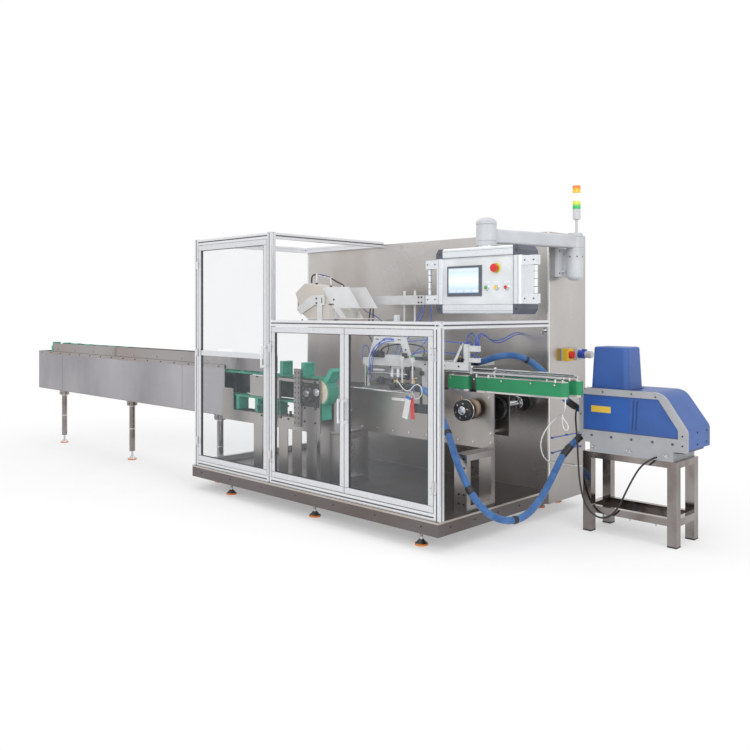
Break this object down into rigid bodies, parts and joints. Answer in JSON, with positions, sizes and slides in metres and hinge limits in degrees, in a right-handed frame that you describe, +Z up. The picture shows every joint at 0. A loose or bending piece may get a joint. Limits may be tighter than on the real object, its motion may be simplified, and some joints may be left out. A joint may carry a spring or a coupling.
{
  "type": "horizontal cartoning machine",
  "caption": "Horizontal cartoning machine: bucket infeed conveyor, guarded carton bed, back cabinet, side belt discharge, swinging control pendant and a hot glue melter on its stand.",
  "frame": {"origin": "centre of the sole of the front right levelling foot, on the floor", "axes": "+Z up, +X along the machine towards the discharge belts, +Y from the door side to the cabinet"},
  "size_m": [7.212, 1.795, 2.423],
  "materials": {
    "stainless": "brushed stainless sheet",
    "cover_sheet": "satin grey sheet",
    "profile": "anodised aluminium profile",
    "clear_pane": "clear acrylic",
    "chrome": "bright chrome",
    "machined": "machined steel plate",
    "dark_steel": "blackened steel",
    "teal": "teal plastic",
    "cream": "cream plastic drum",
    "green_belt": "green belt",
    "white_paint": "white painted sheet",
    "card": "folded cartons",
    "arm_grey": "light grey paint",
    "panel_grey": "light anodised frame",
    "corner_grey": "dark grey plastic",
    "pull_grey": "pale plastic",
    "screen": "glass touch screen in a grey bezel",
    "button": "red, green and yellow buttons",
    "switch": "yellow plate with a red knob, blue and grey socket",
    "tower": "coloured lenses on a grey base",
    "melter_blue": "blue paint",
    "melter_grey": "grey paint",
    "polished": "polished stainless",
    "hose_blue": "blue braided cover",
    "black_rubber": "black",
    "white_rubber": "white cable",
    "soles": "orange rubber"
  },
  "bodies": {
    "root": {"base_tray": "stainless", "leveling_feet": "chrome", "foot_soles": "soles", "back_cabinet": "stainless", "rear_doors": "stainless", "cage_posts": "profile", "tall_rails": "profile", "low_rails": "profile", "end_pane": "clear_pane", "door_hinges": "white_paint", "conveyor_cover": "cover_sheet", "side_guards": "cover_sheet", "conveyor_legs": "polished", "cheek_plates": "machined", "belt_drums": "cream", "bucket_belt": "teal", "product_buckets": "teal", "bed_front_plate": "machined", "bed_back_plate": "machined", "bed_stands": "machined", "cross_shaft": "dark_steel", "chain_sprockets": "dark_steel", "carton_chains": "dark_steel", "side_belts": "green_belt", "belt_frames": "polished", "guide_rods": "chrome", "carrier_beam": "white_paint", "gantry_plate": "white_paint", "top_beam": "white_paint", "carton_magazine": "white_paint", "carton_stack": "card", "glue_guns": "dark_steel", "switch_and_socket": "switch", "signal_tower": "tower", "arm_wall_joint": "arm_grey", "melter_stand": "polished", "melter_chassis": "melter_grey", "melter_hood": "melter_blue", "hose_fittings": "black_rubber", "lower_hose": "hose_blue", "upper_hose": "hose_blue", "power_cable": "black_rubber", "signal_cable": "white_rubber"},
    "left_door": {"left_door_frame": "profile", "left_door_pane": "clear_pane", "left_door_pull": "pull_grey"},
    "middle_door": {"middle_door_frame": "profile", "middle_door_pane": "clear_pane", "middle_door_pull": "pull_grey"},
    "right_door": {"right_door_frame": "profile", "right_door_pane": "clear_pane", "right_door_pull": "pull_grey"},
    "swing_arm": {"swing_arm": "arm_grey"},
    "pendant": {"pendant_face": "white_paint", "pendant_frame": "panel_grey", "pendant_corners": "corner_grey", "pendant_grips": "panel_grey", "pendant_screen": "screen", "pendant_buttons": "button"}
  },
  "joints": [
    {"name": "left_door_hinge", "type": "hinge", "parent": "root", "child": "left_door", "pos_m": [-2.3635, -0.085, 1.1], "axis": [0, 0, -1], "range_deg": [0, 120]},
    {"name": "middle_door_hinge", "type": "hinge", "parent": "root", "child": "middle_door", "pos_m": [-1.4025, -0.085, 0.8], "axis": [0, 0, -1], "range_deg": [0, 120]},
    {"name": "right_door_hinge", "type": "hinge", "parent": "root", "child": "right_door", "pos_m": [0.1625, -0.085, 0.8], "axis": [0, 0, 1], "range_deg": [0, 120]},
    {"name": "arm_swivel", "type": "hinge", "parent": "root", "child": "swing_arm", "pos_m": [0.31, 1.34, 1.95], "axis": [0, 0, 1], "range_deg": [0, 90]},
    {"name": "pendant_swivel", "type": "hinge", "parent": "swing_arm", "child": "pendant", "pos_m": [0.13, 0.51, 1.9], "axis": [0, 0, 1], "range_deg": [-45, 45]}
  ]
}
